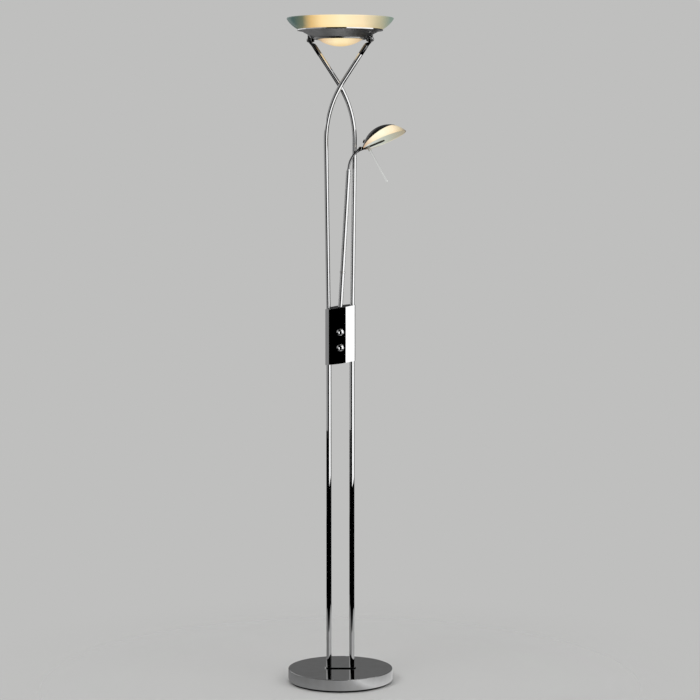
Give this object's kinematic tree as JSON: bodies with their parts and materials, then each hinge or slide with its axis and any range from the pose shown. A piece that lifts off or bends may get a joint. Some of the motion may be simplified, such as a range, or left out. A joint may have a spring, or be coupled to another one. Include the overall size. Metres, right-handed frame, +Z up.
{
  "type": "floor_lamp",
  "caption": "Torchiere floor lamp: two chrome tubes cross under a tilting uplighter dish, with a dimmer box and a swivelling reading light on a bent neck.",
  "frame": {"origin": "centre of the underside of the round base, on the floor", "axes": "+Z up along the stand, -Y towards the user with the knobs, +X to the side of the reading light"},
  "size_m": [0.3197, 0.2876, 1.8],
  "materials": {
    "chrome": "polished chrome plate",
    "black_chrome": "glossy black chrome",
    "opal_glass": "satin opal glass with a clear greenish edge",
    "clear_glass": "clear glass",
    "black_plastic": "moulded, fine matt",
    "ceramic": "unglazed ceramic",
    "handle_fitting": "polished",
    "plain_steel": "zinc plated",
    "black_steel": "black paint",
    "cast_iron": "as cast",
    "rubber": "moulded",
    "aluminium": "turned",
    "brass": "turned"
  },
  "bodies": {
    "stand": {"foot_ring": "rubber", "base_plate": "black_steel", "base_weight": "cast_iron", "base_cover": "chrome", "base_screws": "plain_steel", "cable_gland": "black_plastic", "foot_plate": "chrome", "threaded_nipples": "plain_steel", "base_washers": "plain_steel", "base_nuts": "plain_steel", "tube_inserts": "aluminium", "lower_tube_left": "chrome", "lower_tube_right": "chrome", "tube_joiners": "aluminium", "upper_tube_left": "chrome", "upper_tube_right": "chrome", "tube_end_left": "chrome", "tube_end_right": "chrome", "box_housing": "black_plastic", "box_back_cover": "black_plastic", "box_plate": "chrome", "box_screws": "plain_steel", "dimmer_upper": "black_plastic", "dimmer_lower": "black_plastic", "dimmer_nuts": "brass", "arm_stub": "chrome", "arm_collar": "black_plastic"},
    "head": {"clevis_left": "chrome", "clevis_right": "chrome", "pivot_screws": "chrome", "pivot_nuts": "chrome", "bowl": "chrome", "dish_glass": "opal_glass", "lens_ring": "chrome", "lens_glass": "opal_glass", "lamp_strip": "plain_steel", "lamp_bolts": "plain_steel", "lamp_nuts": "plain_steel", "lampholders": "ceramic", "halogen_lamp": "clear_glass"},
    "knob_upper_body": {"knob_upper": "chrome", "spindle_upper": "plain_steel"},
    "knob_lower_body": {"knob_lower": "chrome", "spindle_lower": "plain_steel"},
    "arm": {"arm_spigot": "brass", "arm_ring": "chrome", "arm_tube": "chrome", "neck_bush": "chrome", "neck": "black_chrome", "neck_eye": "black_chrome"},
    "reading_head": {"reading_tongue": "chrome", "hinge_screw": "chrome", "reading_disc": "opal_glass", "reading_glass": "opal_glass", "reading_shell": "black_chrome", "shell_screw": "chrome", "capsule_holder": "ceramic", "capsule_lamp": "clear_glass", "handle_socket": "handle_fitting", "handle": "clear_glass"}
  },
  "joints": [
    {"name": "head_tilt", "type": "hinge", "parent": "stand", "child": "head", "pos_m": [0, 0, 1.742], "axis": [0.9621, -0.2726, 0], "range_deg": [-30, 30]},
    {"name": "knob_upper_turn", "type": "hinge", "parent": "stand", "child": "knob_upper_body", "pos_m": [0, -0.028, 0.9605], "axis": [0, -1, 0], "range_deg": [-150, 150]},
    {"name": "knob_lower_turn", "type": "hinge", "parent": "stand", "child": "knob_lower_body", "pos_m": [0, -0.028, 0.9185], "axis": [0, -1, 0], "range_deg": [-150, 150]},
    {"name": "arm_swivel", "type": "hinge", "parent": "stand", "child": "arm", "pos_m": [0.00569, -0.012, 1.11863], "axis": [0.0593, 0, 0.9982], "range_deg": [-130, 2]},
    {"name": "reading_tilt", "type": "hinge", "parent": "arm", "child": "reading_head", "pos_m": [0.05394, -0.012, 1.45213], "axis": [0.0572, 0.9888, -0.1382], "range_deg": [-30, 45]}
  ]
}
